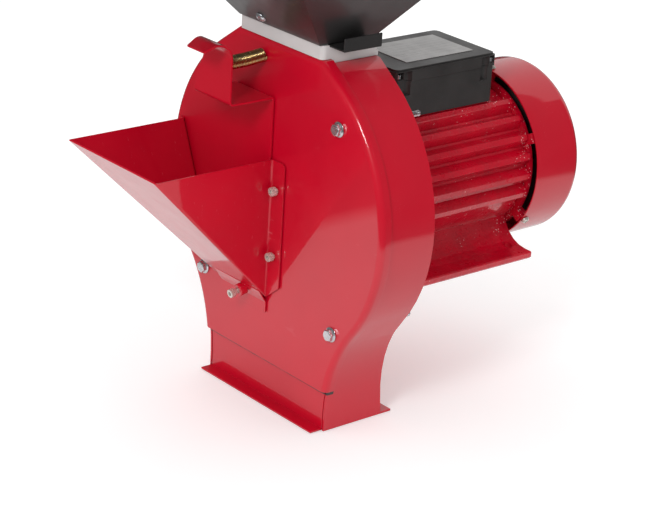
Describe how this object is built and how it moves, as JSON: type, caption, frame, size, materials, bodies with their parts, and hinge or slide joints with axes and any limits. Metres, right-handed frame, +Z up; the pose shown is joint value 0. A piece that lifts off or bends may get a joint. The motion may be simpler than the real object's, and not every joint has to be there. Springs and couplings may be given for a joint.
{
  "type": "hammer mill",
  "caption": "Electric hammer mill: round sheet-steel housing with top hopper, side feed chute with sliding gate, open outlet below and foot-mounted motor behind.",
  "frame": {"origin": "plane under the motor feet, at the centre of their four bolt holes", "axes": "+Z up, +X to the right seen from the front cover, +Y from the front cover towards the motor's fan, along the shaft"},
  "size_m": [0.314, 0.4513, 0.5276],
  "materials": {
    "red_sheet": "glossy red powder coat",
    "red_casting": "glossy red paint over a rough casting",
    "black_sheet": "satin black powder coat",
    "black_plastic": "matt black moulded plastic",
    "grey_plastic": "satin dark grey moulded plastic",
    "white_plastic": "milky white polyethylene",
    "bright_zinc": "bright zinc plate",
    "cap_steel": "slightly yellowed zinc plate",
    "yellow_zinc": "yellow chromated zinc",
    "silver_label": "brushed blank aluminium foil",
    "tool_steel": "ground tool steel",
    "copper_winding": "varnished copper winding on laminations"
  },
  "bodies": {
    "mill": {"mill_housing": "red_sheet", "outlet_front_panel": "red_sheet", "front_cover": "red_sheet", "feed_chute": "red_sheet", "lock_nut": "red_sheet", "fan_cowl": "red_sheet", "motor_front_shield": "red_casting", "motor_frame": "red_casting", "motor_rear_shield": "red_casting", "hopper": "black_sheet", "terminal_box": "black_plastic", "cable_gland": "black_plastic", "run_capacitor": "black_plastic", "terminal_lid": "grey_plastic", "hopper_spacer": "white_plastic", "cover_bolt_1": "bright_zinc", "cover_bolt_2": "bright_zinc", "cover_bolt_3": "bright_zinc", "cover_bolt_4": "bright_zinc", "cover_nut_1": "bright_zinc", "cover_nut_2": "bright_zinc", "cover_nut_3": "bright_zinc", "cover_nut_4": "bright_zinc", "hopper_bolt_1": "bright_zinc", "hopper_bolt_2": "bright_zinc", "cowl_screw_1": "bright_zinc", "cowl_screw_2": "bright_zinc", "cowl_screw_3": "bright_zinc", "lid_screw_1": "bright_zinc", "lid_screw_2": "bright_zinc", "lid_screw_3": "bright_zinc", "lid_screw_4": "bright_zinc", "chute_screw_1": "cap_steel", "chute_screw_2": "cap_steel", "chute_screw_3": "cap_steel", "chute_screw_4": "cap_steel", "blank_label": "silver_label", "sieve": "tool_steel", "bearing_front": "tool_steel", "bearing_rear": "tool_steel", "stator": "copper_winding"},
    "rotor": {"rotor_disc_front": "tool_steel", "rotor_disc_rear": "tool_steel", "rotor_hub": "tool_steel", "hammer_pin_1": "tool_steel", "hammer_pin_2": "tool_steel", "hammer_pin_3": "tool_steel", "hammer_pin_4": "tool_steel", "rotor_shaft": "tool_steel", "shaft_nut": "bright_zinc", "rotor_core": "tool_steel", "cooling_fan": "black_plastic"},
    "hammer_1": {"hammer_1": "tool_steel"},
    "hammer_2": {"hammer_2": "tool_steel"},
    "hammer_3": {"hammer_3": "tool_steel"},
    "hammer_4": {"hammer_4": "tool_steel"},
    "feed_gate": {"feed_gate": "red_sheet", "gate_spring": "yellow_zinc"},
    "hopper_slide": {"hopper_slide": "black_sheet"},
    "lock_screw": {"lock_screw": "cap_steel"}
  },
  "joints": [
    {"name": "rotor_spin", "type": "hinge", "parent": "mill", "child": "rotor", "pos_m": [0, -0.119, 0.083], "axis": [0, 1, 0], "continuous": true},
    {"name": "hammer_swing_1", "type": "hinge", "parent": "rotor", "child": "hammer_1", "pos_m": [0.0495, -0.148, 0.1325], "axis": [0, 1, 0], "continuous": true},
    {"name": "hammer_swing_2", "type": "hinge", "parent": "rotor", "child": "hammer_2", "pos_m": [0.0495, -0.148, 0.0335], "axis": [0, 1, 0], "continuous": true},
    {"name": "hammer_swing_3", "type": "hinge", "parent": "rotor", "child": "hammer_3", "pos_m": [-0.0495, -0.148, 0.0335], "axis": [0, 1, 0], "continuous": true},
    {"name": "hammer_swing_4", "type": "hinge", "parent": "rotor", "child": "hammer_4", "pos_m": [-0.0495, -0.148, 0.1325], "axis": [0, 1, 0], "continuous": true},
    {"name": "gate_slide", "type": "slide", "parent": "mill", "child": "feed_gate", "axis": [0, 0, 1], "range_m": [-0.062, 0.008]},
    {"name": "hopper_slide_travel", "type": "slide", "parent": "mill", "child": "hopper_slide", "axis": [1, 0, 0], "range_m": [0, 0.088]},
    {"name": "lock_screw_turn", "type": "hinge", "parent": "mill", "child": "lock_screw", "pos_m": [-0.0245, -0.1895, -0.015], "axis": [0, 0.9848, 0.1736], "continuous": true}
  ]
}
